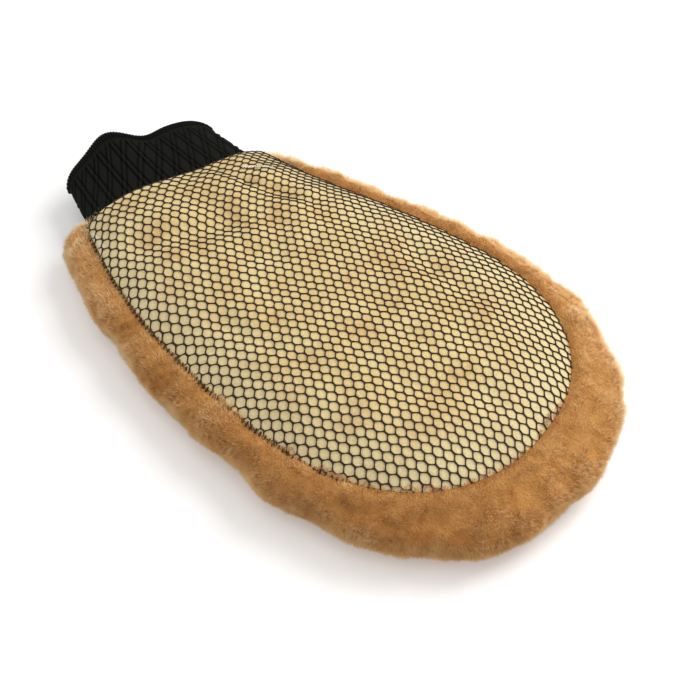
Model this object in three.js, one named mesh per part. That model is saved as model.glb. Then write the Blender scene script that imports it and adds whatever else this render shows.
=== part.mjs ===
// Wool wash mitt with a netted back and a knitted wrist cuff, lying wool side down.
// Millimetres, +Z up, the cuff towards -X and the toe towards +X. The origin is the
// middle of the whole object's box, on the floor.
import * as THREE from 'three';

// Plan of the mitt, measured at the seam that runs round it.
const MITT_LENGTH = 235;          // mouth line to toe, along the centre line
const MITT_HALF_WIDTH = 73;       // at the widest section
const MOUTH_HALF_WIDTH = 50;
const WIDEST_AT = 152;            // widest section's distance from the mouth line
const SIDE_FULLNESS = 1.2;        // how slowly the sides leave the mouth
const TOE_ROUNDNESS = 2.24;       // superellipse exponent of the toe

// Heights and layers, from the floor up.
const SEAM_HEIGHT = 22;           // where the pocket's floor and roof meet at the seam
const PALM_DROP = 7.5;            // the pocket's floor below the seam, in the middle
const BACK_RISE = 9.2;            // the pocket's roof above the seam, in the middle
const PILLOW_ROUNDNESS = 2.2;
const HIDE_THICKNESS = 1.2;
const FOAM_THICKNESS = 4;
const FOAM_EDGE_THICKNESS = 0.8;  // the foam where the seam squashes it
const PANEL_THICKNESS = 1;
const NET_THICKNESS = 0.7;
const GAP = 0.3;                  // clearance that neighbouring pieces keep

// Wool standing out past the seam.
const WOOL_REACH_SIDE = 16.5;
const WOOL_REACH_TOE = 26.5;
const WOOL_REACH_MOUTH = 0.35;

// Cuff: a flattened tube.
const CUFF_LENGTH = 52;           // mouth line to rim
const CUFF_ROOT_HALF_WIDTH = 46;
const CUFF_RIM_HALF_WIDTH = 41;
const CUFF_ROOT_HALF_HEIGHT = 8.5;
const CUFF_RIM_HALF_HEIGHT = 9.5;
const CUFF_RIM_HEIGHT = 20.5;     // height of the rim's middle above the floor
const CUFF_WALL = 2.4;
const CUFF_ROOT_SETBACK = 3;      // the knit's root stands this far outside the mouth line
const MOUTH_CLEARANCE = 1.2;      // round the knit, in the mouth

// Trimmings.
const BINDING_THICKNESS = 1.2;
const BINDING_WIDTH = 7;
const ELASTIC_WIDTH = 2.2;
const SEAM_THREAD_WIDTH = 1.4;
const MOUTH_THREAD_WIDTH = 1.9;
const MOUTH_THREAD_THICKNESS = 1.6;
const BAR_TACK_LENGTH = 9;
const BAR_TACK_HEIGHT = 3;
const SIDE_SEAM_WIDTH = 2.6;
const SIDE_SEAM_THICKNESS = 1.2;

// The mouth end lies turned a little to the +Y side.
const TURN = THREE.MathUtils.degToRad(13);
const TURN_FROM = 90;             // the turn starts here and is complete at TURN_TO
const TURN_TO = 10;

const lerp = THREE.MathUtils.lerp;

// ---- Where a point of the straight mitt comes to lie -----------------------------

// s runs along the centre line from the mouth, y across it, z up.
function asItLies(s, y, z) {
  if (s >= TURN_FROM) return new THREE.Vector3(s, y, z);
  const radius = (TURN_FROM - TURN_TO) / TURN;
  const angle = Math.min((TURN_FROM - s) / radius, TURN);
  const beyond = Math.max(TURN_TO - s, 0);
  return new THREE.Vector3(
    TURN_FROM - radius * Math.sin(angle) - beyond * Math.cos(angle) + y * Math.sin(angle),
    radius * (1 - Math.cos(angle)) + beyond * Math.sin(angle) + y * Math.cos(angle),
    z,
  );
}

// ---- The outline round the mitt ---------------------------------------------------

function halfWidthAt(s) {
  const spread = MITT_HALF_WIDTH - MOUTH_HALF_WIDTH;
  return MOUTH_HALF_WIDTH + spread * Math.sin(0.5 * Math.PI * s / WIDEST_AT) ** SIDE_FULLNESS;
}

// Height of the mouth above and below the seam, at distance y from the centre line.
function mouthOpening(y) {
  const radius = CUFF_ROOT_HALF_HEIGHT + MOUTH_CLEARANCE;
  const past = Math.max(Math.abs(y) - (CUFF_ROOT_HALF_WIDTH - CUFF_ROOT_HALF_HEIGHT), 0);
  return past < radius ? Math.sqrt(radius ** 2 - past ** 2) : 0;
}

function mouthStations() {
  const steps = 6;
  const stations = [];
  for (let k = 0; k <= steps; k++) {
    const y = MOUTH_HALF_WIDTH * Math.sin(0.5 * Math.PI * k / steps);
    stations.push({ s: 0, y, ns: -1, ny: 0, reach: WOOL_REACH_MOUTH, opening: mouthOpening(y) });
  }
  for (const [degrees, share] of [[30, 0.6], [60, 0.9]]) {
    const turn = THREE.MathUtils.degToRad(degrees);
    stations.push({
      s: 0, y: MOUTH_HALF_WIDTH, ns: -Math.cos(turn), ny: Math.sin(turn),
      reach: share * WOOL_REACH_SIDE, opening: 0,
    });
  }
  return stations;
}

function sideStations() {
  const sideSteps = 7;
  const toeSteps = 8;
  const points = [];
  for (let k = 0; k <= sideSteps; k++) {
    const s = WIDEST_AT * k / sideSteps;
    points.push([s, halfWidthAt(s), 0]);
  }
  for (let k = 1; k <= toeSteps; k++) {
    const turn = 0.5 * Math.PI * k / toeSteps;
    const across = k < toeSteps ? Math.cos(turn) ** (2 / TOE_ROUNDNESS) : 0;
    const along = Math.sin(turn) ** (2 / TOE_ROUNDNESS);
    points.push([
      WIDEST_AT + (MITT_LENGTH - WIDEST_AT) * along, MITT_HALF_WIDTH * across, Math.sin(turn) ** 2,
    ]);
  }
  return points.map(([s, y, toeward], k) => {
    const before = points[Math.max(k - 1, 0)];
    const after = points[k + 1] ?? [s, -points[k - 1][1]];
    const along = new THREE.Vector2(after[0] - before[0], after[1] - before[1]).normalize();
    const tip = k === points.length - 1;
    return {
      s, y, ns: tip ? 1 : -along.y, ny: tip ? 0 : along.x,
      reach: lerp(WOOL_REACH_SIDE, WOOL_REACH_TOE, toeward), opening: 0,
    };
  });
}

// Once round, anticlockwise from above: mouth, -Y side, toe, +Y side and back.
function outlineStations() {
  const half = [...mouthStations(), ...sideStations()];
  const other = half.map((station) => ({ ...station, y: -station.y, ny: -station.ny }));
  return [...other, ...half.slice(1, -1).reverse()];
}

const OUTLINE = outlineStations();
const MITT_MIDDLE = MITT_LENGTH / 2;

// out is 0 at the mitt's middle and 1 at the seam; from 1 to 2 it crosses the wool's reach.
function mittPoint(station, out, z) {
  if (out <= 1) return asItLies(lerp(MITT_MIDDLE, station.s, out), station.y * out, z);
  const reach = (out - 1) * station.reach;
  return asItLies(station.s + reach * station.ns, station.y + reach * station.ny, z);
}

function pocketFloor(station, out) {
  const edge = Math.min(out, 1) ** PILLOW_ROUNDNESS;
  return SEAM_HEIGHT - GAP / 2 - PALM_DROP * (1 - edge) - station.opening * edge;
}

function pocketRoof(station, out) {
  const edge = out ** PILLOW_ROUNDNESS;
  return SEAM_HEIGHT + GAP / 2 + BACK_RISE * (1 - edge) + station.opening * edge;
}

function foamTop(station, out) {
  return pocketRoof(station, out) + lerp(FOAM_THICKNESS, FOAM_EDGE_THICKNESS, out ** 4);
}

function panelTop(station, out) {
  return foamTop(station, out) + GAP + PANEL_THICKNESS;
}

function netTop(station, out) {
  return panelTop(station, out) + GAP + NET_THICKNESS;
}

// ---- Solids ------------------------------------------------------------------------

// A turned blank whose every point is then placed by its segment and its profile point.
function reshapedBlank(profile, segments, place) {
  const blank = new THREE.LatheGeometry(profile, segments);
  const position = blank.getAttribute('position');
  for (let i = 0; i < position.count; i++) {
    const segment = Math.floor(i / profile.length) % segments;
    const point = place(segment, profile[i % profile.length]);
    position.setXYZ(i, point.x, point.y, point.z);
  }
  splitAlike(blank.getIndex(), profile, segments);
  blank.deleteAttribute('normal');
  blank.deleteAttribute('uv');
  return blank;
}

// Splits inward runs of the profile along the diagonal that outward runs have, so that
// two cloths lying on each other have the same facets and keep their clearance.
function splitAlike(index, profile, segments) {
  const runs = profile.length - 1;
  for (let quad = 0; quad < segments * runs; quad++) {
    const run = quad % runs;
    if (profile[run + 1].x >= profile[run].x) continue;
    const [a, b, d, c] = [0, 1, 2, 3].map((corner) => index.getX(6 * quad + corner));
    [a, b, c, a, c, d].forEach((vertex, corner) => index.setX(6 * quad + corner, vertex));
  }
}

function profileOf(pairs) {
  return pairs.map(([across, up]) => new THREE.Vector2(across, up));
}

const LAYER_RINGS = [0.35, 0.6, 0.8, 0.92, 1];

// One cloth of the mitt, between two heights that depend on the place.
function layer(low, high) {
  const rings = [0, ...LAYER_RINGS];
  const profile = profileOf([
    ...rings.map((out) => [out, 0]),
    ...rings.toReversed().map((out) => [out, 1]),
  ]);
  return reshapedBlank(profile, OUTLINE.length, (segment, { x: out, y: upper }) => {
    const station = OUTLINE[segment];
    return mittPoint(station, out, upper ? high(station, out) : low(station, out));
  });
}

// Wool: flat on the floor, rolling up round the seam, hollowed under the hide.
function fleece() {
  const roll = [
    [1.5, 0], [1.8, 0.08], [1.97, 0.28], [2, 0.55], [1.9, 0.8], [1.66, 0.96], [1.4, 1],
  ];
  const profile = profileOf([
    [0, 0], [0.6, 0], [1, 0], ...roll, ...LAYER_RINGS.toReversed().map((out) => [out, 1]), [0, 1],
  ]);
  return reshapedBlank(profile, OUTLINE.length, (segment, { x: out, y: share }) => {
    const station = OUTLINE[segment];
    const top = pocketFloor(station, out) - HIDE_THICKNESS - GAP;
    return mittPoint(station, out, share * top);
  });
}

function extrudeAlong(path, steps, thickness, height) {
  const section = new THREE.Shape([
    new THREE.Vector2(-height / 2, -thickness / 2), new THREE.Vector2(height / 2, -thickness / 2),
    new THREE.Vector2(height / 2, thickness / 2), new THREE.Vector2(-height / 2, thickness / 2),
  ]);
  return new THREE.ExtrudeGeometry(section, { extrudePath: path, steps, bevelEnabled: false });
}

function besideSeam(station, distance, z) {
  return asItLies(station.s + distance * station.ns, station.y + distance * station.ny, z);
}

// Overlocked edge over the stacked layers, round both sides and the toe.
function perimeterSeam() {
  const sides = OUTLINE.filter((station) => station.reach >= WOOL_REACH_SIDE);
  const low = pocketFloor(sides[0], 1) - HIDE_THICKNESS + 0.1;
  const high = netTop(sides[0], 1);
  const points = sides.map((station) =>
    besideSeam(station, GAP + SEAM_THREAD_WIDTH / 2, (low + high) / 2));
  const path = new THREE.CatmullRomCurve3(points, false, 'centripetal');
  return extrudeAlong(path, 84, SEAM_THREAD_WIDTH, high - low);
}

// Short bar of stitches beside one end of the overlocked edge, following the side.
function barTack(side) {
  const z = SEAM_HEIGHT + BAR_TACK_HEIGHT / 2;
  const start = 2;
  const points = [0, 0.5, 1].map((share) => {
    const s = start + share * BAR_TACK_LENGTH;
    const slope = halfWidthAt(s + 1) - halfWidthAt(s);
    const normal = new THREE.Vector2(-slope, 1).normalize();
    return besideSeam({ s, y: side * halfWidthAt(s), ns: normal.x, ny: side * normal.y },
      3 * GAP + 1.5 * SEAM_THREAD_WIDTH, z);
  });
  return extrudeAlong(
    new THREE.CatmullRomCurve3(points), 4, SEAM_THREAD_WIDTH, BAR_TACK_HEIGHT);
}

// ---- Cuff --------------------------------------------------------------------------

const CUFF_ARC_STEPS = 8;
const CUFF_STATIONS = 4 * CUFF_ARC_STEPS;

// A point on the flattened tube: index round it, distance outside its skin, place along it.
function cuffPoint(index, outside, s) {
  const share = -s / CUFF_LENGTH;
  const halfWidth = lerp(CUFF_ROOT_HALF_WIDTH, CUFF_RIM_HALF_WIDTH, share);
  const halfHeight = lerp(CUFF_ROOT_HALF_HEIGHT, CUFF_RIM_HALF_HEIGHT, share);
  const middle = lerp(SEAM_HEIGHT, CUFF_RIM_HEIGHT, share);
  const run = Math.floor(index / CUFF_ARC_STEPS);
  const along = (index % CUFF_ARC_STEPS) / CUFF_ARC_STEPS;
  const side = run < 2 ? 1 : -1;
  const flat = halfWidth - halfHeight;
  const radius = halfHeight + outside;
  if (run % 2 === 0) return asItLies(s, side * flat * (1 - 2 * along), middle + side * radius);
  const turn = Math.PI * along;
  return asItLies(
    s, -side * (flat + radius * Math.sin(turn)), middle + side * radius * Math.cos(turn));
}

// A band round the tube, from its outline in (distance outside the skin, place along).
function cuffBand(outline) {
  const profile = profileOf([...outline, outline[0]]);
  return reshapedBlank(profile, CUFF_STATIONS, (segment, { x: outside, y: s }) =>
    cuffPoint(segment, outside, s));
}

const BINDING_FOLD = -CUFF_LENGTH + BINDING_THICKNESS;   // inside of the binding's fold
const ELASTIC_END = BINDING_FOLD + GAP;
const KNIT_END = ELASTIC_END + ELASTIC_WIDTH + GAP;

function cuffKnit() {
  const places = [0, 1 / 3, 2 / 3, 1].map((share) => lerp(-CUFF_ROOT_SETBACK, KNIT_END, share));
  return cuffBand([
    ...places.map((s) => [-CUFF_WALL, s]), ...places.toReversed().map((s) => [0, s]),
  ]);
}

// Folded over the knit's rim, one leg outside it and one inside.
function cuffRimBinding() {
  const edge = -CUFF_LENGTH + BINDING_WIDTH;
  const outer = GAP + BINDING_THICKNESS;
  return cuffBand([
    [GAP, edge], [outer, edge], [outer, -CUFF_LENGTH], [-CUFF_WALL - outer, -CUFF_LENGTH],
    [-CUFF_WALL - outer, edge], [-CUFF_WALL - GAP, edge], [-CUFF_WALL - GAP, BINDING_FOLD],
    [GAP, BINDING_FOLD],
  ].toReversed());
}

function cuffElastic() {
  const far = ELASTIC_END + ELASTIC_WIDTH;
  return cuffBand([
    [-CUFF_WALL, ELASTIC_END], [0, ELASTIC_END], [0, far], [-CUFF_WALL, far],
  ]);
}

// Seam that closes the knitted strip into a tube, on the inside of the -Y edge.
function cuffSideSeam() {
  const depth = CUFF_WALL + 2 * GAP + SIDE_SEAM_THICKNESS / 2;
  const edgeIndex = 1.5 * CUFF_ARC_STEPS;
  const start = cuffPoint(edgeIndex, -depth, -CUFF_ROOT_SETBACK - 2);
  const end = cuffPoint(edgeIndex, -depth, -CUFF_LENGTH + BINDING_WIDTH + 2);
  return extrudeAlong(
    new THREE.LineCurve3(start, end), 1, SIDE_SEAM_THICKNESS, SIDE_SEAM_WIDTH);
}

// Thread ring round the mouth, where the cuff is sewn in.
function mouthSeam() {
  const inner = 0.8;
  const outer = inner + MOUTH_THREAD_THICKNESS;
  const near = -0.7;
  const far = near - MOUTH_THREAD_WIDTH;
  return cuffBand([[inner, far], [outer, far], [outer, near], [inner, near]]);
}

// ---- Assembly ----------------------------------------------------------------------

function piece(name, geometry, color, roughness) {
  const material = new THREE.MeshStandardMaterial({ color, roughness, metalness: 0 });
  const mesh = new THREE.Mesh(geometry, material);
  mesh.name = name;
  return mesh;
}

function mittBody() {
  const body = new THREE.Group();
  body.add(
    piece('fleece', fleece(), 0xb98048, 0.95),
    piece('hide', layer(
      (station, out) => pocketFloor(station, out) - HIDE_THICKNESS, pocketFloor), 0xd8c7a4, 0.85),
    piece('back_foam', layer(pocketRoof, foamTop), 0xe6ddc0, 0.9),
    piece('back_panel', layer(
      (station, out) => foamTop(station, out) + GAP, panelTop), 0xddc193, 0.85),
    piece('net_cover', layer(
      (station, out) => panelTop(station, out) + GAP, netTop), 0x2c241a, 0.6),
    piece('perimeter_seam', perimeterSeam(), 0x5a3d22, 0.8),
    piece('mouth_seam', mouthSeam(), 0x1e1c1a, 0.8),
    piece('bar_tack_left', barTack(1), 0xe8e2d4, 0.7),
    piece('bar_tack_right', barTack(-1), 0xe8e2d4, 0.7),
  );
  return body;
}

function cuffBody() {
  const body = new THREE.Group();
  body.add(
    piece('cuff_knit', cuffKnit(), 0x1b1b1b, 0.9),
    piece('cuff_rim_binding', cuffRimBinding(), 0x232323, 0.85),
    piece('cuff_elastic', cuffElastic(), 0xd9d4c8, 0.7),
    piece('cuff_side_seam', cuffSideSeam(), 0x141414, 0.9),
  );
  return body;
}

function washMitt() {
  const mitt = new THREE.Group();
  mitt.name = 'wash_mitt';
  mitt.add(mittBody(), cuffBody());
  const middle = new THREE.Box3().setFromObject(mitt).getCenter(new THREE.Vector3());
  mitt.position.set(-middle.x, -middle.y, 0);
  return mitt;
}

export default washMitt();
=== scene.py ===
"""Wool wash mitt: a sheepskin sole, a padded cloth back under a net, and a knitted cuff."""
import math

import bmesh
import bpy
import numpy as np
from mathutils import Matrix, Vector, noise


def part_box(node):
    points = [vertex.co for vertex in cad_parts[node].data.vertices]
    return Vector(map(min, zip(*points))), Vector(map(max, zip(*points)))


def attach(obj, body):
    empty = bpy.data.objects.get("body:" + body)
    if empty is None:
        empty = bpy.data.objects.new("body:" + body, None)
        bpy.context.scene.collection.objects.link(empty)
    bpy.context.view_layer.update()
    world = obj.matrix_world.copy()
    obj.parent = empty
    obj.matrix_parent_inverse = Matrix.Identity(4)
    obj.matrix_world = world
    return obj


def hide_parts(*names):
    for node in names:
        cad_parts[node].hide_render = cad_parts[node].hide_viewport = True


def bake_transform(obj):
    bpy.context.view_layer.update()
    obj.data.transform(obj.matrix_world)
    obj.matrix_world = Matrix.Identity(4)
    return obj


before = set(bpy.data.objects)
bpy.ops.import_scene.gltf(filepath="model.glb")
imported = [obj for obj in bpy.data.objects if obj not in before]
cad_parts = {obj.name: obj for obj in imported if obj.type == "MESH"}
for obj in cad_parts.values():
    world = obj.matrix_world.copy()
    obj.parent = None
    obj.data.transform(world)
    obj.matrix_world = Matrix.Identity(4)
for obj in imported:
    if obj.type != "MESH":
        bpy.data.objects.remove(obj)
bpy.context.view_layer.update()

# ---- Camera, floor and light ----------------------------------------------------------
# A three-quarter view from above the near side of the toe, over a pale floor. The strongest
# of the four large soft lights is behind, and the others fill in from above, side and front.

azimuth, elevation = math.radians(40.07), math.radians(50.57)
camera_distance = 0.3759
away = Vector((math.sin(azimuth) * math.cos(elevation),
               -math.cos(azimuth) * math.cos(elevation), math.sin(elevation)))
looked_at = Vector((0.0406, -0.0111, 0.015))
camera = bpy.data.objects.new("camera", bpy.data.cameras.new("camera"))
camera.data.lens = 42.9
camera.data.sensor_width = 36
camera.location = looked_at + away * camera_distance
camera.rotation_euler = (-away).to_track_quat("-Z", "Y").to_euler()
bpy.context.scene.collection.objects.link(camera)
bpy.context.scene.camera = camera


def soft_light(name, place, size, power, colour):
    """A square area light aimed at the mitt."""
    lamp = bpy.data.lights.new(name, "AREA")
    lamp.size, lamp.energy, lamp.color = size, power, colour
    made = bpy.data.objects.new(name, lamp)
    made.location = place
    made.rotation_euler = (-Vector(place)).to_track_quat("-Z", "Y").to_euler()
    bpy.context.scene.collection.objects.link(made)


soft_light("light_back", (0.25, 0.75, 0.75), 0.7, 9.5, (1.0, 0.98, 0.95))
soft_light("light_top", (-0.1, -0.1, 1.1), 0.9, 2.5, (1.0, 1.0, 1.0))
soft_light("light_side", (0.9, 0.1, 0.5), 0.7, 2.0, (1.0, 0.99, 0.97))
soft_light("light_near", (-0.35, -0.85, 0.6), 0.8, 2.4, (1.0, 0.98, 0.95))
world = bpy.data.worlds.new("studio")
world.use_nodes = True
background = world.node_tree.nodes["Background"]
background.inputs["Color"].default_value = (1, 1, 1, 1)
background.inputs["Strength"].default_value = 0.38
bpy.context.scene.world = world
bpy.context.scene.view_settings.view_transform = "Standard"


class Shade:
    """An output of a shader tree. Arithmetic on it adds Math nodes."""

    def __init__(self, tree, socket=None):
        self.tree, self.socket = tree, socket

    def node(self, kind, settings=None, out=0, **inputs):
        """Adds a node: its settings first, then the values or links of its sockets."""
        made = self.tree.nodes.new(kind)
        for name, value in (settings or {}).items():
            if name == "stops":
                first, *middle, last = value
                ends = made.color_ramp.elements
                ends[0].position, ends[0].color = first[0], (*first[1], 1)
                ends[1].position, ends[1].color = last[0], (*last[1], 1)
                for place, colour in middle:
                    ends.new(place).color = (*colour, 1)
            else:
                setattr(made, name, value)
        for name, value in inputs.items():
            name = name.replace("_", " ")
            target = made.inputs[int(name[1:]) if name[1:].isdigit() else name]
            if isinstance(value, Shade):
                self.tree.links.new(value.socket, target)
            else:
                target.default_value = value
        return Shade(self.tree, made.outputs[out])

    def math(self, operation, first, second=0.0):
        return self.node("ShaderNodeMath", {"operation": operation}, i0=first, i1=second)

    def __add__(self, other):
        return self.math("ADD", self, other)

    def __radd__(self, other):
        return self.math("ADD", other, self)

    def __sub__(self, other):
        return self.math("SUBTRACT", self, other)

    def __rsub__(self, other):
        return self.math("SUBTRACT", other, self)

    def __mul__(self, other):
        return self.math("MULTIPLY", self, other)

    def __rmul__(self, other):
        return self.math("MULTIPLY", other, self)

    def noise(self, scale, detail=3.0, roughness=0.55, where=None):
        """Noise on the piece's own place, in metres."""
        where = where or self.node("ShaderNodeTexCoord", out=3)
        return self.node("ShaderNodeTexNoise", Vector=where, Scale=scale, Detail=detail,
                         Roughness=roughness)

    def ramp(self, *stops):
        return self.node("ShaderNodeValToRGB", {"stops": stops}, Fac=self)

    def mix(self, first, second):
        """Two colours mixed by this socket."""
        return self.node("ShaderNodeMix", {"data_type": "RGBA"}, out=2,
                         i0=self, i6=first, i7=second)

    def attribute(self, name):
        """A number that the mesh holds at each point."""
        return self.node("ShaderNodeAttribute", {"attribute_name": name}, out=2)

    def bump(self, strength, distance, under=None):
        links = {"Normal": under} if under else {}
        return self.node("ShaderNodeBump", Height=self, Strength=strength, Distance=distance,
                         **links)


def material(name, colour, roughness, normal=None, sheen=0.0, sheen_tint=(1, 1, 1),
             gloss=0.2, glow=0.0):
    """A cloth-like material; colour, roughness and normal may be functions of its tree."""
    made = bpy.data.materials.new(name)
    made.use_nodes = True
    tree = made.node_tree
    shader = tree.nodes["Principled BSDF"]
    start = Shade(tree)
    for socket, value in (("Base Color", colour), ("Roughness", roughness), ("Normal", normal)):
        if callable(value):
            tree.links.new(value(start).socket, shader.inputs[socket])
        elif value is not None:
            shader.inputs[socket].default_value = value
    shader.inputs["Sheen Weight"].default_value = sheen
    shader.inputs["Sheen Roughness"].default_value = 0.5
    shader.inputs["Sheen Tint"].default_value = (*sheen_tint, 1)
    shader.inputs["Specular IOR Level"].default_value = gloss
    if glow:
        shader.inputs["Emission Color"].default_value = (1, 1, 1, 1)
        shader.inputs["Emission Strength"].default_value = glow
    return made


def add_piece(name, mesh, finish):
    """Puts a finished mesh in the scene, at the origin."""
    made = bpy.data.objects.new(name, mesh)
    mesh.materials.append(finish)
    mesh.polygons.foreach_set("use_smooth", [True] * len(mesh.polygons))
    bpy.context.scene.collection.objects.link(made)
    return made


def flat_grid(name, along, across, size=1):
    """A flat grid's mesh, from -size to size both ways."""
    sheet = bmesh.new()
    bmesh.ops.create_grid(sheet, x_segments=along, y_segments=across, size=size)
    mesh = bpy.data.meshes.new(name)
    sheet.to_mesh(mesh)
    sheet.free()
    return mesh


floor_white = material("floor_white", (0.93, 0.93, 0.93, 1), 0.9, glow=0.12)
add_piece("floor", flat_grid("floor", 1, 1, size=6), floor_white)

# ---- Hide -----------------------------------------------------------------------------
# The sheepskin's own leather, cut to the mitt's outline. It is the pocket's floor, and
# the wool grows from its underside.

mitt_length = 0.235
half_width, mouth_half_width, widest_at = 0.073, 0.0515, 0.152
toe_roundness, side_fullness = 2.24, 1.2      # of the outline's two curves
seam_height = 0.0228
turn, turn_from, turn_to = math.radians(13), 0.090, 0.010   # the mouth end's bend sideways
mouth_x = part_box("net_cover")[1].x - mitt_length
askew_far, askew_near = 0.0070, 0.0040        # how far the mouth's edge lies up the mitt
askew_fades = 0.08


def lies(s, y, z):
    """Where points lie, given along the centre line from the mouth, across it and up."""
    s, y, z = np.broadcast_arrays(np.asarray(s, float), y, z)
    radius = (turn_from - turn_to) / turn
    angle = np.clip((turn_from - s) / radius, 0, turn)
    beyond, ahead = np.maximum(turn_to - s, 0), np.maximum(s - turn_from, 0)
    x = mouth_x + turn_from + ahead - radius * np.sin(angle) - beyond * np.cos(angle)
    across = radius * (1 - np.cos(angle)) + beyond * np.sin(angle)
    return np.stack([x + y * np.sin(angle), across + y * np.cos(angle), z], axis=-1)


def half_width_at(s):
    """The seam's distance from the centre line."""
    spread = half_width - mouth_half_width
    side = mouth_half_width + spread * np.sin(
        0.5 * np.pi * np.clip(s / widest_at, 0, 1)) ** side_fullness
    toeward = np.clip((s - widest_at) / (mitt_length - widest_at), 0, 1)
    toe = half_width * (1 - toeward ** toe_roundness) ** (1 / toe_roundness)
    return np.where(s < widest_at, side, toe)


def outness(s, y):
    """0 on the centre line's middle part and 1 at the seam."""
    toeward = np.clip((s - widest_at) / (mitt_length - widest_at), 0, 1)
    across = np.abs(y) / np.where(s < widest_at, half_width_at(s), half_width)
    return np.clip((toeward ** toe_roundness + across ** toe_roundness) ** (1 / toe_roundness),
                   0, 1)


def mouth_askew(s, y):
    """s moved up the mitt where the mouth's edge lies askew, fading out along it."""
    back = askew_far / (1 + np.exp(-(y + 0.004) / 0.005))
    back = back + askew_near * np.clip((-y - 0.036) / 0.014, 0, 1) ** 2
    return s + back * np.clip(1 - s / askew_fades, 0, 1) ** 2


def points_of(mesh):
    """The mesh's points, one row each."""
    points = np.empty(len(mesh.vertices) * 3)
    mesh.vertices.foreach_get("co", points)
    return points.reshape(-1, 3)


def hold(mesh, name, values):
    """Stores a number at each point of the mesh, for its material."""
    mesh.attributes.new(name, "FLOAT", "POINT").data.foreach_set("value", values)


def add_wall(piece, thickness):
    """Gives a sheet its thickness, inwards."""
    wall = piece.modifiers.new("wall", "SOLIDIFY")
    wall.thickness, wall.offset = thickness, -1


def cloth(name, along, across, place, finish, thickness, first=0.0):
    """A grid over the mitt's plan, from s = first to the toe, placed and given a wall. Its
    rows are closer together towards the toe, where the outline curves most."""
    mesh = flat_grid(name, along, across)
    points = points_of(mesh)
    share = 0.5 + 0.5 * points[:, 0]
    s = mitt_length - (mitt_length - first) * (1 - 0.985 * share) ** 1.7
    y = points[:, 1] * half_width_at(s)
    mesh.vertices.foreach_set("co", place(s, y).ravel())
    hold(mesh, "edge", outness(s, y))
    mesh.update()
    made = add_piece(name, mesh, finish)
    add_wall(made, thickness)
    return made


def waves(s, y, size, seed):
    """Smooth noise over the plan, about -1 to 1."""
    return np.array([noise.noise(Vector((a / size, b / size, seed)))
                     for a, b in zip(np.ravel(s), np.ravel(y))]).reshape(np.shape(s)) * 1.6


def suede_colour(start):
    return start.noise(60, 6).ramp((0.3, (0.62, 0.52, 0.36)), (0.7, (0.78, 0.69, 0.52)))


def suede_nap(start):
    return start.noise(2600, 4).bump(0.5, 0.0004)


hide_suede = material("hide_suede", suede_colour, 0.9, suede_nap, sheen=0.3)


pocket_depth, mouth_drop = 0.0072, 0.003
hide_thickness = 0.0012


def on_floor_of_pocket(s, y):
    out = outness(s, y)
    mouth = np.clip(1 - s / 0.06, 0, 1) ** 2 * np.clip(1 - (y / mouth_half_width) ** 4, 0, 1)
    drop = pocket_depth * (1 - out ** 2.4) + mouth_drop * mouth
    s = mouth_askew(s, y)
    return lies(s, y, seam_height - 0.0008 - drop + 0.0004 * waves(s, y, 0.02, 3))


hide = cloth("hide_sole", 90, 60, on_floor_of_pocket, hide_suede, hide_thickness)
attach(hide, "mitt")
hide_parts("hide")

# ---- Wool -----------------------------------------------------------------------------
# Dense sheared pile, golden brown, that stands out past the seam all round, by 15 mm at the
# sides and 25 mm at the toe. It swells and parts into soft tufts, with painted shade between
# them and deep down. A closed core carries fine fibres, each a three-sided spike.

wool_reach_side, wool_reach_toe = 0.0145, 0.0245
wool_middle_height, wool_half_height = 0.0118, 0.0106
wool_rise = 0.0032        # the pile stands this much higher just outside the seam
wool_middle = np.array([0.12, 0.0])
tuft_height = 0.0027


def wool_outline(count=1400):
    """The seam's outline with rounded mouth corners: place, outward normal and reach."""
    s = mitt_length * (1 - (1 - np.linspace(0, 1, 900)) ** 2.2)
    side = np.stack([s, half_width_at(s)], axis=-1)
    loop = np.concatenate([side, side[-2::-1] * (1, -1)])
    mouth = np.linspace(-mouth_half_width, mouth_half_width, 120)[1:-1]
    loop = np.concatenate([loop, np.stack([0 * mouth, mouth], axis=-1)])
    for _ in range(40):
        loop = 0.5 * loop + 0.25 * (np.roll(loop, 1, axis=0) + np.roll(loop, -1, axis=0))
    closed = np.concatenate([loop, loop[:1]])
    run = np.concatenate([[0], np.cumsum(np.linalg.norm(np.diff(closed, axis=0), axis=1))])
    at = np.linspace(0, run[-1], count, endpoint=False)
    place = np.stack([np.interp(at, run, closed[:, k]) for k in range(2)], axis=-1)
    along = np.roll(place, -6, axis=0) - np.roll(place, 6, axis=0)
    along /= np.linalg.norm(along, axis=1, keepdims=True)
    normal = np.stack([-along[:, 1], along[:, 0]], axis=-1)
    normal *= np.sign((normal * (place - wool_middle)).sum(axis=1, keepdims=True))
    for _ in range(30):
        normal = 0.5 * normal + 0.25 * (np.roll(normal, 1, 0) + np.roll(normal, -1, 0))
    normal /= np.linalg.norm(normal, axis=1, keepdims=True)
    toeward, mouthward = np.clip(normal[:, 0], 0, 1), np.clip(-normal[:, 0], 0, 1)
    reach = wool_reach_side + (wool_reach_toe - wool_reach_side) * toeward ** 1.3
    reach *= 1 - 0.68 * mouthward ** 4
    turns = 2 * np.pi * np.arange(count) / count
    reach += 0.0010 * np.sin(17 * turns + 0.5) + 0.0007 * np.sin(10 * turns + 2)
    far_half = np.clip(0.5 + place[:, 1] / 0.04, 0, 1)
    reach *= 1 - 0.72 * np.clip(1 - place[:, 0] / 0.040, 0, 1) * far_half
    place[:, 0] = mouth_askew(place[:, 0], place[:, 1])
    return place, normal, reach, run[-1]


outline_place, outline_normal, outline_reach, outline_run = wool_outline()


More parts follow.
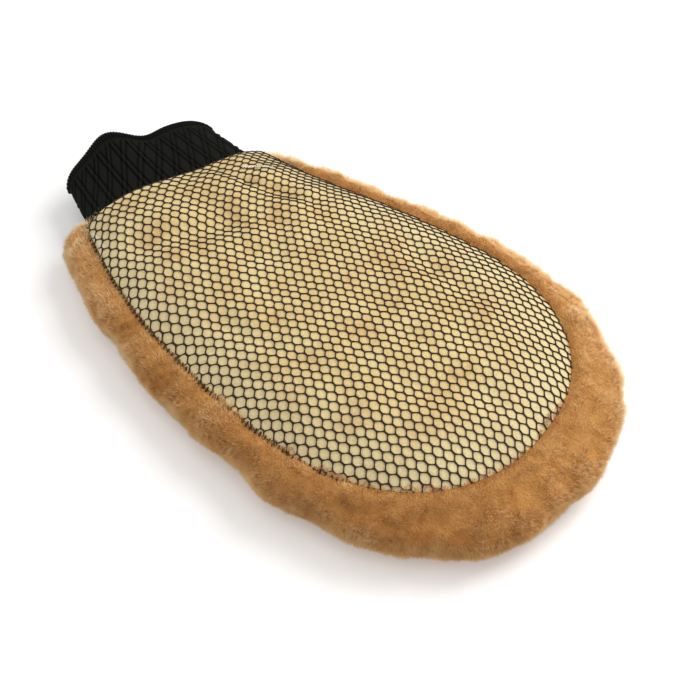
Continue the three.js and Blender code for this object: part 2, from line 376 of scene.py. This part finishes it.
def wool_surface(turn_share, roll):
    """Points of the pile's surface: share of the way round, and angle over the roll from
    pi/2 on top of the seam through 0 at the rim to -pi/2 underneath."""
    count = len(outline_place)
    at = np.mod(turn_share, 1) * count
    low = at.astype(int) % count
    share = (at - np.floor(at))[:, None]
    high = (low + 1) % count
    place = outline_place[low] * (1 - share) + outline_place[high] * share
    normal = outline_normal[low] * (1 - share) + outline_normal[high] * share
    reach = outline_reach[low] * (1 - share[:, 0]) + outline_reach[high] * share[:, 0]
    power = 2 / 2.5        # a little squarer than a round section
    open_end = np.clip(place[:, 0] / 0.045, 0, 1)
    tuck = 0.0030 + 0.0013 * (np.sin(turn_share * 144.5) + np.sin(turn_share * 358.1 + 1))
    facing = np.clip(0.3 + normal[:, 0] + 0.8 * np.clip(normal[:, 1], 0, 1), 0.1, 1)
    tuck = tuck * open_end * facing
    out = -tuck + (reach + tuck) * np.abs(np.cos(roll)) ** power
    lift = wool_half_height * np.sign(np.sin(roll)) * np.abs(np.sin(roll)) ** power
    lift = lift * np.where(roll > 0, 0.84 + 0.16 * open_end, 1)
    crest = np.exp(-((out - 0.0040) / 0.005) ** 2) * (roll > 0)
    lift = lift + open_end * facing * wool_rise * crest
    spot = place + normal * out[:, None]
    return spot[:, 0], spot[:, 1], wool_middle_height + lift


def tufting(points):
    """How far the pile swells or parts at each point, about -1 to 1."""
    return np.array([
        noise.noise(Vector((p[0] * 75, p[1] * 75, p[2] * 75)))
        + noise.noise(Vector((p[0] * 230, p[1] * 230, p[2] * 230))) * 0.6
        for p in points])


def calmed(roll):
    """How much of the tufting is left: all of it on top, a third of it by the floor."""
    return 0.35 + 0.65 * np.clip((roll + 0.3) / 0.9, 0, 1)


def weld(mesh, distance):
    """Merges the points that meet, and turns the faces outwards."""
    welded = bmesh.new()
    welded.from_mesh(mesh)
    bmesh.ops.remove_doubles(welded, verts=welded.verts, dist=distance)
    bmesh.ops.recalc_face_normals(welded, faces=welded.faces)
    welded.to_mesh(mesh)
    welded.free()


def wool_core():
    """The pile's closed inner body: bottom, roll and a hollowed top under the hide."""
    around, over = 420, 44
    inner = 8        # rows from the roll in to the middle, above and below
    mesh = flat_grid("wool_core", around, over + 2 * inner)
    points = points_of(mesh)
    round_share = 0.5 + 0.5 * points[:, 0]
    step = (0.5 + 0.5 * points[:, 1]) * (over + 2 * inner)
    roll = np.pi / 2 - np.pi * np.clip((step - inner) / over, 0, 1)
    s, y, z = wool_surface(round_share, roll)
    top_share = np.clip(1 - step / inner, 0, 1)
    low_share = np.clip((step - inner - over) / inner, 0, 1)
    inward = np.maximum(top_share, low_share)
    s, y = s + (wool_middle[0] - s) * inward, y + (wool_middle[1] - y) * inward
    z = z - 0.0096 * (1 - (1 - top_share) ** 2.2) * (top_share > 0)
    placed = lies(s, y, z)
    outer = (inward == 0)
    swell = np.zeros(len(placed))
    swell[outer] = tufting(placed[outer]) * tuft_height * calmed(roll[outer]) - 0.0010
    centre = lies(np.clip(s, 0.02, 0.2), y * 0.7, 0 * s + wool_middle_height)
    outward = placed - centre
    outward /= np.linalg.norm(outward, axis=1, keepdims=True) + 1e-9
    placed += outward * swell[:, None]
    placed[:, 2] = np.maximum(placed[:, 2], 0.0006)
    placed[low_share > 0, 2] = 0.0018
    mesh.vertices.foreach_set("co", placed.ravel())
    weld(mesh, 2e-6)
    return mesh


def pile_colour(start):
    # tone holds random tone and, on the side pile, painted light near the mouth and far side.
    tone = start.attribute("tone")
    depth = start.attribute("depth")
    patch = start.noise(70, 4)
    # Painted shade: depth darkens the pile towards the fibres' roots and between the tufts.
    mixed = depth * 0.74 + tone * 0.2 + patch * 0.74 - 0.33
    return mixed.ramp((0.0, (0.28, 0.095, 0.020)), (0.3, (0.57, 0.250, 0.064)),
                      (0.62, (0.83, 0.475, 0.175)), (1.0, (0.97, 0.75, 0.43)))


# Darker than the fibres' middles, like their roots: painted shade deep in the pile.
def core_colour(start):
    return start.noise(180, 5).ramp((0.3, (0.46, 0.20, 0.05)), (0.7, (0.66, 0.34, 0.11)))


def core_nap(start):
    return start.noise(900, 6).bump(1.0, 0.002)


pile_wool = material("pile_wool", pile_colour, 0.85, sheen=0.35, sheen_tint=(1, 0.86, 0.66))
pile_core = material("pile_core", core_colour, 0.95, core_nap)
core = add_piece("wool_core", wool_core(), pile_core)
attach(core, "mitt")
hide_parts("fleece")


def fibre_shape():
    """One fibre's template: a three-sided spike, 1 long."""
    spike = bmesh.new()
    bmesh.ops.create_cone(spike, cap_ends=True, segments=3, radius1=1, radius2=0, depth=1)
    for vert in spike.verts:
        vert.co.z += 0.5
    bmesh.ops.remove_doubles(spike, verts=spike.verts, dist=1e-5)
    bmesh.ops.recalc_face_normals(spike, faces=spike.faces)
    spike.verts.ensure_lookup_table()
    points = np.array([vert.co for vert in spike.verts])
    faces = [[vert.index for vert in face.verts] for face in spike.faces]
    spike.free()
    return points, faces


def joined(name, points, faces):
    """One mesh from copies of a template: points is (copies, corners, 3)."""
    copies, corners = points.shape[:2]
    sizes = np.array([len(face) for face in faces])
    flat = np.concatenate([np.array(face) for face in faces])
    loops = (flat[None] + corners * np.arange(copies)[:, None]).ravel()
    totals = np.tile(sizes, copies)
    mesh = bpy.data.meshes.new(name)
    mesh.vertices.add(copies * corners)
    mesh.vertices.foreach_set("co", points.ravel())
    mesh.loops.add(len(loops))
    mesh.loops.foreach_set("vertex_index", loops)
    mesh.polygons.add(len(totals))
    mesh.polygons.foreach_set("loop_start", np.concatenate([[0], np.cumsum(totals)[:-1]]))
    mesh.update(calc_edges=True)
    mesh.validate()
    return mesh


fibre_points, fibre_faces = fibre_shape()


def pile(name, rng, root, tip, girth, tone, swell):
    """A mesh of fibres from their roots and tips, coloured by tone and by height. Height and
    swell carry painted shade: darker low on each fibre and where the pile parts.
    """
    count = len(root)
    axis = tip - root
    axis /= np.linalg.norm(axis, axis=1, keepdims=True) + 1e-12
    side = np.cross(axis, rng.normal(0, 1, (count, 3)))
    side /= np.linalg.norm(side, axis=1, keepdims=True) + 1e-12
    other = np.cross(axis, side)
    t = fibre_points[:, 2]
    thick = girth * rng.uniform(0.75, 1.25, count)[:, None, None]
    points = (root[:, None] + (tip - root)[:, None] * t[None, :, None]
              + side[:, None] * fibre_points[None, :, :1] * thick
              + other[:, None] * fibre_points[None, :, 1:2] * thick)
    points[..., 2] = np.maximum(points[..., 2], 0.0002)
    mesh = joined(name, points, fibre_faces)
    # Painted shade: fibres darken towards their roots and where the swell parts the pile.
    depth = np.clip(np.tile(t, count) + 0.65 * np.repeat(swell, len(t)), 0, 1)
    hold(mesh, "tone", np.repeat(tone, len(t)))
    hold(mesh, "depth", depth)
    made = add_piece(name, mesh, pile_wool)
    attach(made, "mitt")


fibre_length, fibre_girth = 0.0034, 0.00008
lowest_roll = -1.35
lock = 0.0030            # the width of a gathered lock
roll_radius = 0.0135


def grow(name, rng, count, from_turn, to_turn):
    """Fibres over a stretch of the pile, from its underside up to the seam, shorter low
    down. Each is drawn a little towards the middle of its lock, and swirls gently."""
    share = rng.uniform(from_turn, to_turn, count)
    table = np.linspace(lowest_roll, np.pi / 2, 400)
    across = np.stack(wool_surface(np.zeros(400), table), axis=-1)
    arc = np.concatenate([[0], np.cumsum(np.linalg.norm(np.diff(across, axis=0), axis=1))])
    roll = np.interp(rng.uniform(0, arc[-1], count), arc, table)
    root = lies(*wool_surface(share, roll))
    step = 0.001
    beside = lies(*wool_surface(share + step / outline_run, roll)) - root
    down = lies(*wool_surface(share, np.clip(roll - 0.05, -np.pi / 2, np.pi / 2))) - root
    down[np.linalg.norm(down, axis=1) < 1e-7] = (0, 0, -1e-4)
    normal = np.cross(beside, down)
    normal /= np.linalg.norm(normal, axis=1, keepdims=True) + 1e-12
    middle = lies(*wool_middle, 0.012)
    normal *= np.sign((normal * (root - middle)).sum(axis=1, keepdims=True))
    swell = tufting(root)
    root += normal * ((swell * calmed(roll))[:, None] * tuft_height - 0.0016)
    # The middles of the locks lie on a jittered grid, along the seam and over the roll.
    run = share * outline_run
    over = (np.pi / 2 - roll) * roll_radius
    cell = np.stack([np.floor(run / lock), np.floor(over / lock)], axis=-1).astype(int)
    mix = (cell[:, 0] * 73856093 ^ cell[:, 1] * 19349663) & 0xFFFF
    jitter = np.stack([(mix * 7919 % 1009) / 1009.0, (mix * 104729 % 997) / 997.0], axis=-1)
    target = (cell + 0.2 + 0.6 * jitter) * lock
    towards = target - np.stack([run, over], axis=-1)
    along = beside / (np.linalg.norm(beside, axis=1, keepdims=True) + 1e-12)
    below = down / (np.linalg.norm(down, axis=1, keepdims=True) + 1e-12)
    gather = 0.12 * (towards[:, :1] * along + towards[:, 1:] * below)
    long = fibre_length * rng.uniform(0.75, 1.15, count)[:, None]
    long = long * (0.42 + 0.58 * np.clip((roll + 0.9) / 1.3, 0, 1) ** 1.5)[:, None]
    stray = rng.normal(0, 0.20, (count, 3)) * long
    swirl = 2.2 * np.sin(over / 0.0017 + 3 * np.sin(run / 0.0053))
    swirl_along = np.sin(run / 0.00061 + swirl)
    swirl_below = np.sin(over / 0.00058 + run / 0.0019 + swirl)
    inward = np.clip((roll - 1.15) / 0.42, 0, 1)[:, None] * rng.uniform(0.1, 0.8, (count, 1))
    gather = gather - 1.0 * long * inward * below
    lean = 0.10 * long * (swirl_along[:, None] * along + swirl_below[:, None] * below)
    tip = root + normal * long + gather + stray * 0.55 + lean
    tip[:, 2] = np.maximum(tip[:, 2], 0.0003)
    root[:, 2] = np.maximum(root[:, 2], 0.0006)
    spot = outline_place[(np.mod(share, 1) * len(outline_place)).astype(int)]
    # Painted light: lighter wool near the mouth and on the far side, added to the random tone.
    painted_light = 0.9 * np.clip(1 - spot[:, 0] / 0.08, 0, 1) + 0.5 * np.clip(spot[:, 1] / 0.06, 0, 1)
    tone = np.clip(0.5 + 0.25 * rng.normal(0, 1, count) + 0.35 * ((mix % 97) / 97.0 - 0.5), 0, 1)
    pile(name, rng, root, tip, fibre_girth, tone + painted_light, swell)


pile_rng = np.random.default_rng(7)
pile_stretches, stretch_count = 6, 43000
for stretch in range(pile_stretches):
    grow(f"wool_pile_{stretch + 1}", pile_rng, stretch_count, stretch / pile_stretches,
         (stretch + 1) / pile_stretches)

# The sole's pile lies pressed flat on the floor, combed this way and that.
sole_count = 36000
sole_fibre_length, sole_fibre_girth = 0.0042, 0.00014
sole_at = pile_rng.integers(0, len(outline_place), sole_count)
sole_share = np.sqrt(pile_rng.uniform(0, 1, sole_count))[:, None]
sole_spot = wool_middle + (outline_place[sole_at] - wool_middle) * sole_share
sole_spot = sole_spot + outline_normal[sole_at] * 0.006 * sole_share
sole_root = lies(sole_spot[:, 0], sole_spot[:, 1], 0.0020)
sole_way = 3.5 * waves(sole_spot[:, 0], sole_spot[:, 1], 0.018, 23)
sole_way = sole_way + pile_rng.normal(0, 0.35, sole_count)
sole_reach = sole_fibre_length * pile_rng.uniform(0.7, 1.2, sole_count)
sole_tip = sole_root + np.stack([np.cos(sole_way) * sole_reach, np.sin(sole_way) * sole_reach,
                                 pile_rng.uniform(-0.0017, -0.0009, sole_count)], axis=-1)
pile("wool_pile_sole", pile_rng, sole_root, sole_tip, sole_fibre_girth,
     np.clip(0.5 + 0.25 * pile_rng.normal(0, 1, sole_count), 0, 1),
     0.5 * waves(sole_spot[:, 0], sole_spot[:, 1], 0.006, 29))

# ---- Foam -----------------------------------------------------------------------------
# A thin sheet of soft foam, laid behind the back cloth. It gives the back its pillowed
# shape with a few soft folds, and is squashed flat in the seam.

crown = 0.0142
foam_thickness, foam_behind = 0.0026, 0.0016
hem_at, hem_radius = 0.0035, 0.0022       # where the cloth turns under, from the mouth line
folds = [  # from (s, y), to (s, y), width, height
    (0.018, 0.019, 0.038, 0.024, 0.0032, -0.0013),
    (0.038, 0.024, 0.075, 0.038, 0.0042, -0.0017),
    (0.014, 0.034, 0.066, 0.044, 0.0060, 0.0012),
    (0.020, 0.010, 0.078, 0.026, 0.0075, 0.0012),
    (0.040, -0.038, 0.056, -0.004, 0.0085, -0.0028),
    (0.098, -0.046, 0.122, -0.043, 0.0060, -0.0014),
    (0.122, 0.050, 0.150, 0.038, 0.0060, -0.0014),
    (0.150, 0.038, 0.182, 0.039, 0.0070, -0.0012),
    (0.188, -0.018, 0.212, -0.004, 0.0080, -0.0016),
    (0.212, -0.004, 0.218, 0.010, 0.0060, -0.0010),
]


def back_height(s, y):
    """The height of the back's surface: a pillow with soft lengthwise folds."""
    out = outness(s, y)
    pillow = crown * (1 - out ** 3.0) ** 0.8 - 0.0016 * (1 - out ** 2) ** 2
    pillow = pillow * (0.53 + 0.47 * np.sin(0.5 * np.pi * np.clip(s / 0.042, 0, 1)))
    height = seam_height + pillow
    for s0, y0, s1, y1, width, tall in folds:
        run_s, run_y = s1 - s0, y1 - y0
        share = ((s - s0) * run_s + (y - y0) * run_y) / (run_s ** 2 + run_y ** 2)
        inside = np.clip(share, 0, 1)
        off = np.hypot(s - s0 - inside * run_s, y - y0 - inside * run_y)
        height = height + tall * np.exp(-(off / width) ** 2) * (1 - out ** 4)
    return height + 0.0009 * waves(s, y, 0.016, 5) * (1 - out ** 3)


def on_back(s, y, above):
    """Points of the back's surface, raised along its normal. Past the mouth line the
    cloth turns under in a small roll."""
    s, edge = mouth_askew(s, y), mouth_askew(hem_at, y)
    under = np.clip((edge - s) / hem_radius, 0, 2.4)
    flat = np.maximum(s, edge)

    def surface(a, b):
        return lies(a, b, back_height(a, b))

    spot = surface(flat, y)
    step = 0.0006
    normal = np.cross(surface(flat + step, y) - spot, surface(flat, y + step) - spot)
    normal /= np.linalg.norm(normal, axis=1, keepdims=True) + 1e-12
    back = spot - surface(flat + step, y)
    back /= np.linalg.norm(back, axis=1, keepdims=True) + 1e-12
    rounded = (hem_radius + above)[:, None]
    centre = spot - normal * hem_radius
    return centre + rounded * (normal * np.cos(under)[:, None] + back * np.sin(under)[:, None])


def foam_colour(start):
    return start.noise(300, 4).ramp((0.3, (0.74, 0.66, 0.46)), (0.7, (0.82, 0.76, 0.58)))


def foam_cells(start):
    return start.noise(3000, 2).bump(0.8, 0.0006)


foam_finish = material("foam_finish", foam_colour, 0.9, foam_cells)
foam = cloth("foam_sheet", 100, 70, lambda s, y: on_back(s, y * 0.985, 0 * s - foam_behind),
             foam_finish, foam_thickness, first=0.007)
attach(foam, "mitt")
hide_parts("back_foam")

# ---- Back cloth -----------------------------------------------------------------------
# Soft brushed cloth, pale yellow-beige, drawn over the foam and turned under at the mouth.
# Its colour holds painted shade as faint, warmer, darker blotches placed by noise, and painted
# light that grows lighter towards the seam.


def back_colour(start):
    # Painted shade: darker, warmer blotches placed by noise stand in for shade in dim hollows.
    painted_shade_blotch = start.noise(55, 4, 0.6).ramp(
        (0.30, (0.63, 0.41, 0.175)), (0.45, (0.71, 0.53, 0.245)), (0.68, (0.77, 0.635, 0.32)))
    fine = start.noise(900, 3).ramp((0.3, (0.86, 0.84, 0.82)), (0.7, (1.06, 1.06, 1.06)))
    # Painted light: the cloth is mixed towards a lighter colour near the seam, as if lit.
    painted_lit_border = ((start.attribute("edge") - 0.55) * 1.5).mix(painted_shade_blotch, (0.79, 0.69, 0.42, 1))
    return start.node("ShaderNodeMix", {"data_type": "RGBA", "blend_type": "MULTIPLY"}, out=2,
                      i0=1.0, i6=painted_lit_border, i7=fine)


def back_nap(start):
    coarse = start.noise(220, 4).bump(0.5, 0.0012)
    return start.noise(2400, 4).bump(0.5, 0.0003, under=coarse)


cloth_thickness = 0.0009
back_finish = material("back_finish", back_colour, 0.88, back_nap, sheen=0.25)
back = cloth("back_cloth", 270, 180, lambda s, y: on_back(s, y, 0 * s), back_finish,
             cloth_thickness, first=-0.0015)
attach(back, "mitt")
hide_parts("back_panel")

# ---- Net ------------------------------------------------------------------------------
# Knotless black-brown net of pointed-oval meshes, 4.6 mm apart, points towards the toe. It
# lies on the back cloth, follows its folds and is caught in the same seams.

mesh_pitch, knot_half_length = 0.0046, 0.0008
strand = 0.00072
net_askew = math.radians(-7.5)
net_origin = 0.12             # the lattice's own middle, from the mouth
net_clearance = 0.00024


def net_cell():
    """One mesh of the net: its share of the strands round a pointed oval hole."""
    cell = bmesh.new()
    rings = []
    half, knot = mesh_pitch / 2, knot_half_length
    tip = mesh_pitch * math.sqrt(3) / 2 - knot
    quarter = [(tip, 0), ((tip + knot) / 2, half / 2), (knot, half), (0, half)]
    holes = [(tip - 0.00062, 0), ((tip + knot) / 2 * 0.895, half / 2 * 0.935),
             (knot * 1.1, half - strand * 0.66), (0, half - strand * 0.60)]
    for shrink, height in ((0, 0.00042), (0.45, 0.00034), (1, 0.0), (0, -0.00020)):
        ring = bmesh.ops.create_circle(cell, segments=12, radius=1)["verts"]
        for k, vert in enumerate(ring):
            place = 3 - abs(3 - k % 6)
            along, up = math.cos(2 * math.pi * k / 12), math.sin(2 * math.pi * k / 12)
            outer, inner = quarter[place], holes[place]
            vert.co = (math.copysign(outer[0] + (inner[0] - outer[0]) * shrink, along),
                       math.copysign(outer[1] + (inner[1] - outer[1]) * shrink, up), height)
        rings.append(ring)
    for first, second in zip(rings, rings[1:]):
        edges = {edge for vert in (*first, *second) for edge in vert.link_edges
                 if edge.other_vert(vert) in first or edge.other_vert(vert) in second}
        edges = [e for e in edges if (e.verts[0] in first) == (e.verts[1] in first)]
        bmesh.ops.bridge_loops(cell, edges=edges)
    cell.verts.index_update()
    points = np.array([vert.co for vert in cell.verts])
    faces = [[vert.index for vert in face.verts] for face in cell.faces]
    cell.free()
    return points, faces


def net_lies(u, v):
    """The net's own lattice laid on the mitt: a little askew, and drawn out at the mouth."""
    s = u * math.cos(net_askew) - v * math.sin(net_askew)
    y = u * math.sin(net_askew) + v * math.cos(net_askew)
    stretch = 1 - 0.6 * s
    s, y = net_origin + s * (1 - 0.3 * s), y * stretch
    return s + 0.0005 * waves(s, y, 0.03, 11), y + 0.0006 * waves(s, y, 0.035, 17)


def back_net():
    points, faces = net_cell()
    row = mesh_pitch * math.sqrt(3) / 2
    i, j = (side.ravel() for side in np.meshgrid(np.arange(-40, 41), np.arange(-24, 25)))
    u, v = i * row, (j + 0.5 * (i % 2)) * mesh_pitch
    s, y = net_lies(u, v)
    kept = (outness(s, y) < 0.999) & (s > hem_at - 0.004) & (s < mitt_length - 0.001)
    places = np.stack([u, v, 0 * u], axis=-1)[kept]
    mesh = joined("back_net", points[None] + places[:, None], faces)
    weld(mesh, 2e-5)
    flat = points_of(mesh)
    s, y = net_lies(flat[:, 0], flat[:, 1])
    s = np.clip(s, hem_at - 0.005, mitt_length - 0.0004)
    limit = half_width_at(s)
    y = np.clip(y, -limit, limit)
    mesh.vertices.foreach_set("co", on_back(s, y, flat[:, 2] + net_clearance).ravel())
    mesh.update()
    return mesh


def net_colour(start):
    return start.noise(400, 3).ramp((0.3, (0.022, 0.012, 0.005)), (0.7, (0.050, 0.030, 0.014)))


def net_twist(start):
    return start.noise(5000, 2).bump(0.4, 0.0002)


net_finish = material("net_finish", net_colour, 0.6, net_twist)
net = add_piece("back_net", back_net(), net_finish)
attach(net, "mitt")
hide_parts("net_cover")

# ---- Edge seam and bar tacks ----------------------------------------------------------
# All the layers are overlocked together round the sides and the toe in brown thread, under
# the wool. A short bar of close pale stitches secures each end of the mouth.


def stitches(name, centre, along, up, size, finish):
    """A row of stitches: centre, long axis and upward axis of each, and their half sizes."""
    grain = bmesh.new()
    bmesh.ops.create_uvsphere(grain, u_segments=8, v_segments=6, radius=1)
    grain.verts.index_update()
    shape = np.array([vert.co for vert in grain.verts])
    faces = [[vert.index for vert in face.verts] for face in grain.faces]
    grain.free()
    along = along / np.linalg.norm(along, axis=1, keepdims=True)
    side = np.cross(up, along)
    side /= np.linalg.norm(side, axis=1, keepdims=True)
    top = np.cross(along, side)
    points = (centre[:, None] + along[:, None] * shape[None, :, 2:] * size[0]
              + side[:, None] * shape[None, :, :1] * size[1]
              + top[:, None] * shape[None, :, 1:2] * size[2])
    return add_piece(name, joined(name, points, faces), finish)


edge_thread = material("edge_thread", (0.075, 0.038, 0.016, 1), 0.7)
tack_thread = material("tack_thread", (0.80, 0.76, 0.66, 1), 0.6)

overlock_count, overlock_half_width = 260, 0.0012
overlock_from = 0.013         # past the open mouth
seam_at = np.linspace(0.0, 1.0, overlock_count, endpoint=False) * len(outline_place)
seam_at = seam_at[outline_place[seam_at.astype(int), 0] > overlock_from].astype(int)
seam_spot = outline_place[seam_at] - outline_normal[seam_at] * overlock_half_width
seam_out = outline_place[seam_at] + outline_normal[seam_at] * overlock_half_width
seam_in = lies(seam_spot[:, 0], seam_spot[:, 1], seam_height + 0.0004)
seam_end = lies(seam_out[:, 0], seam_out[:, 1], seam_height - 0.0006)
seam_up = np.tile((0.0, 0.0, 1.0), (len(seam_at), 1))
overlock = stitches("edge_overlock", (seam_in + seam_end) / 2, seam_end - seam_in, seam_up,
                    (0.0017, 0.0006, 0.0008), edge_thread)
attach(overlock, "mitt")
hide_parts("perimeter_seam")

tack_count = 17
for side_name, node, first, last, proud in (
        ("far", "bar_tack_left", (0.0225, 0.0295), (0.0355, 0.0395), 0.0010),
        ("near", "bar_tack_right", (0.010, -0.0515), (0.022, -0.0522), -0.0001)):
    share = np.linspace(0, 1, tack_count)
    tack_s = first[0] + (last[0] - first[0]) * share
    tack_y = first[1] + (last[1] - first[1]) * share
    lift = np.full(tack_count, proud)
    slant = np.where(np.arange(tack_count) % 2 == 0, 0.25, -0.1)
    middle = on_back(tack_s, tack_y, lift)
    run = on_back(tack_s + 0.001, tack_y, lift) - middle
    across = on_back(tack_s, tack_y + 0.001, lift) - middle
    row = middle[-1] - middle[0]
    up = np.cross(run, across)
    bar = np.cross(up, np.tile(row, (tack_count, 1)))
    bar = bar / np.linalg.norm(bar, axis=1, keepdims=True)
    bar = bar + slant[:, None] * row / np.linalg.norm(row)
    tack = stitches(f"bar_tack_{side_name}", middle, bar, up, (0.0012, 0.00028, 0.0003),
                    tack_thread)
    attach(tack, "mitt")
    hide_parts(node)

# ---- Cuff -----------------------------------------------------------------------------
# A knitted tube, black, with a raised trellis of double ribs. Its root is sewn into the
# mouth and its other end lies free, sagging in the middle.

cuff_root_half_width, cuff_rim_half_width = 0.0478, 0.0435
cuff_half_height, cuff_height = 0.0075, 0.0205
cuff_length = 0.0440          # from the mouth line to the rim, at its sides
ribs_round = 21
knit_thickness = 0.0018


def cuff_angles(share):
    """Angles round the cuff that are evenly spaced along the knit."""
    angles = np.linspace(0, 2 * np.pi, 721)
    steps = np.hypot(np.diff(0.045 * np.cos(angles)), np.diff(0.0085 * np.sin(angles)))
    run = np.concatenate([[0], np.cumsum(steps)])
    return np.interp(share, run / run[-1], angles)


def cuff_point(angle, share, outside):
    """A point of the cuff: angle round it from +Y over the top, share of the way from the
    root inside the mouth to the rim, and distance outside the knit's surface."""
    across, up = np.cos(angle), np.sin(angle)
    up = np.sign(up) * np.abs(up) ** 0.85
    y = across * (cuff_root_half_width
                  + (cuff_rim_half_width - cuff_root_half_width) * share) - 0.0005
    y = y + 0.0025 * np.clip(across, -1, 0) * (1 - share)
    hump = np.exp(-((y + 0.0125) / 0.0145) ** 2)
    dip = np.exp(-((y - 0.006) / 0.009) ** 2)
    rim = cuff_length + 0.0070 * hump - 0.0012 * dip - 0.0080 * np.abs(across) ** 8
    root = mouth_askew(0.009, y)
    s = root - (rim + root) * share
    crest = (0.0048 * hump - 0.0020 * dip + 0.0004) * share ** 2 * np.clip(up * 1.5, -0.3, 1)
    z = cuff_height - 0.004 * share + up * (cuff_half_height + outside) + crest
    return lies(s, y + across * outside, z)


def cuff_relief(around, share):
    """Height of the trellis: two crossing families of ribs between pairs of grooves."""
    height = 0
    for slope in (3.0, -0.2):
        off = np.abs(np.mod(around * ribs_round + share * slope, 1) - 0.5)
        height = height + 0.00025 * np.exp(-(off / 0.06) ** 2)
        height = height - 0.00060 * np.exp(-((off - 0.15) / 0.055) ** 2)
    return height * np.clip((0.90 - share) * 20, 0, 1)


def tube(name, around, along, place, relief):
    """A closed band: a grid rolled round, its two long edges welded."""
    mesh = flat_grid(name, around, along)
    points = points_of(mesh)
    turn_share, share = 0.5 + 0.5 * points[:, 0], 0.5 + 0.5 * points[:, 1]
    mesh.vertices.foreach_set("co", place(turn_share, share).ravel())
    hold(mesh, "relief", relief(turn_share, share))
    weld(mesh, 1e-6)
    return mesh


def knit_place(around, share):
    return cuff_point(cuff_angles(around), share, cuff_relief(around, share))


def knit_colour(start):
    # Random mottle plus painted shade and light from the relief: grooves darkest, ribs lightest.
    mottle_and_painted_relief_shade = start.noise(500, 4) * 0.25 + start.attribute("relief")
    return mottle_and_painted_relief_shade.ramp((0.1, (0.0005, 0.0005, 0.0004)), (0.95, (0.0070, 0.0070, 0.0052)))


def knit_stitch(start):
    return start.noise(2200, 3).bump(0.9, 0.0006)


def bend_with_cuff(piece):
    """Bakes a piece of the cuff's placing into its mesh."""
    ends = [Vector(lies(s, 0.0, 0.022)) for s in (0.004, -0.014)]
    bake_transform(piece)


knit = material("knit", knit_colour, 0.85, knit_stitch, sheen=0.02, gloss=0.06)
# The relief attribute paints the trellis: shade in the grooves, light on the ribs.
cuff = add_piece("cuff_knit_tube", tube(
    "cuff_knit_tube", 480, 92, knit_place,
    lambda around, share: np.clip(0.75 + cuff_relief(around, share) / 0.0006, 0, 1)), knit)
add_wall(cuff, knit_thickness)
bend_with_cuff(cuff)
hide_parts("cuff_knit")

# ---- Rim binding ----------------------------------------------------------------------
# A narrow band of close rib, folded over the cuff's rim and sewn down on both sides. It is
# knitted in the same black yarn.

rim_ribs = 125
rim_thickness = 0.0006


def binding_place(around, share):
    fold = (share - 0.5) * 2
    rib = 0.00038 * np.cos(2 * np.pi * around * rim_ribs)
    along = 1.012 - 0.105 * np.abs(fold) ** 1.6
    outside = np.sign(fold) * 0.0014 * np.minimum(np.abs(fold) * 2, 1) ** 0.55 - 0.0006
    outside = outside + rib * np.sign(fold) * np.clip(np.abs(fold) * 3, 0, 1)
    outside = outside - np.sign(fold) * 0.0012 * np.clip((np.abs(fold) - 0.85) / 0.15, 0, 1)
    along = along + rib * 9 * (1 - np.clip(np.abs(fold) * 3, 0, 1))
    return cuff_point(cuff_angles(around), along, outside)


# Its relief attribute paints light on each rib's crest and shade between the ribs.
binding = add_piece("cuff_rim_rib", tube(
    "cuff_rim_rib", 1200, 18, binding_place,
    lambda around, share: 0.75 + 0.55 * np.cos(2 * np.pi * around * rim_ribs)), knit)
add_wall(binding, rim_thickness)
bend_with_cuff(binding)
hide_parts("cuff_rim_binding")

# ---- Mouth seam, side seam and elastic --------------------------------------------------
# Dark brown thread sews the cuff's root to the mouth all round. Inside the cuff runs the
# tube's own closing seam, and a covered elastic lies against the knit behind the rim.


def ring_of_stitches(name, count, share, outside, size, finish, lean):
    """Stitches all round the cuff, leaning to one side and the other in turn."""
    turn_share = (np.arange(count) + 0.5) / count
    angle = cuff_angles(turn_share)
    middle = cuff_point(angle, share, outside)
    ahead = cuff_point(cuff_angles(turn_share + 0.001), share, outside) - middle
    along = cuff_point(angle, share + 0.01, outside) - middle
    ahead /= np.linalg.norm(ahead, axis=1, keepdims=True)
    along /= np.linalg.norm(along, axis=1, keepdims=True)
    tilt = np.where(np.arange(count) % 2 == 0, lean, -lean)[:, None]
    return stitches(name, middle, along + ahead * tilt, np.cross(ahead, along), size, finish)


mouth_thread = ring_of_stitches("mouth_thread", 96, 0.07, 0.0005,
                                (0.0016, 0.00035, 0.0004), edge_thread, lean=0.5)
bend_with_cuff(mouth_thread)
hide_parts("mouth_seam")

seam_side = 0.0 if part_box("cuff_side_seam")[1].y > 0.02 else np.pi
seam_count, seam_inside = 40, -0.0026
seam_share = np.linspace(0.10, 0.88, seam_count)
seam_angle = np.full(seam_count, seam_side)
seam_middle = cuff_point(seam_angle, seam_share, seam_inside)
seam_along = cuff_point(seam_angle, seam_share + 0.01, seam_inside) - seam_middle
seam_up = seam_middle - cuff_point(seam_angle, seam_share, -0.004)
seam_zigzag = np.where(np.arange(seam_count) % 2 == 0, 0.0002, -0.0002)[:, None]
side_seam = stitches("cuff_side_thread", seam_middle, seam_along + seam_zigzag, seam_up,
                     (0.0009, 0.0010, 0.0005), knit)
bend_with_cuff(side_seam)
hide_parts("cuff_side_seam")


elastic_waves = 120


def elastic_place(around, share):
    fold = 2 * np.pi * share
    wave = 0.00012 * np.cos(2 * np.pi * around * elastic_waves)
    return cuff_point(cuff_angles(around), 0.86 + 0.05 * np.cos(fold),
                      -0.0027 + (0.0005 + wave) * np.sin(fold))


elastic_finish = material("elastic_finish", (0.62, 0.60, 0.55, 1), 0.7)
elastic = add_piece("cuff_elastic_band", tube(
    "cuff_elastic_band", 480, 12, elastic_place, lambda around, share: 0 * around), elastic_finish)
bend_with_cuff(elastic)
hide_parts("cuff_elastic")
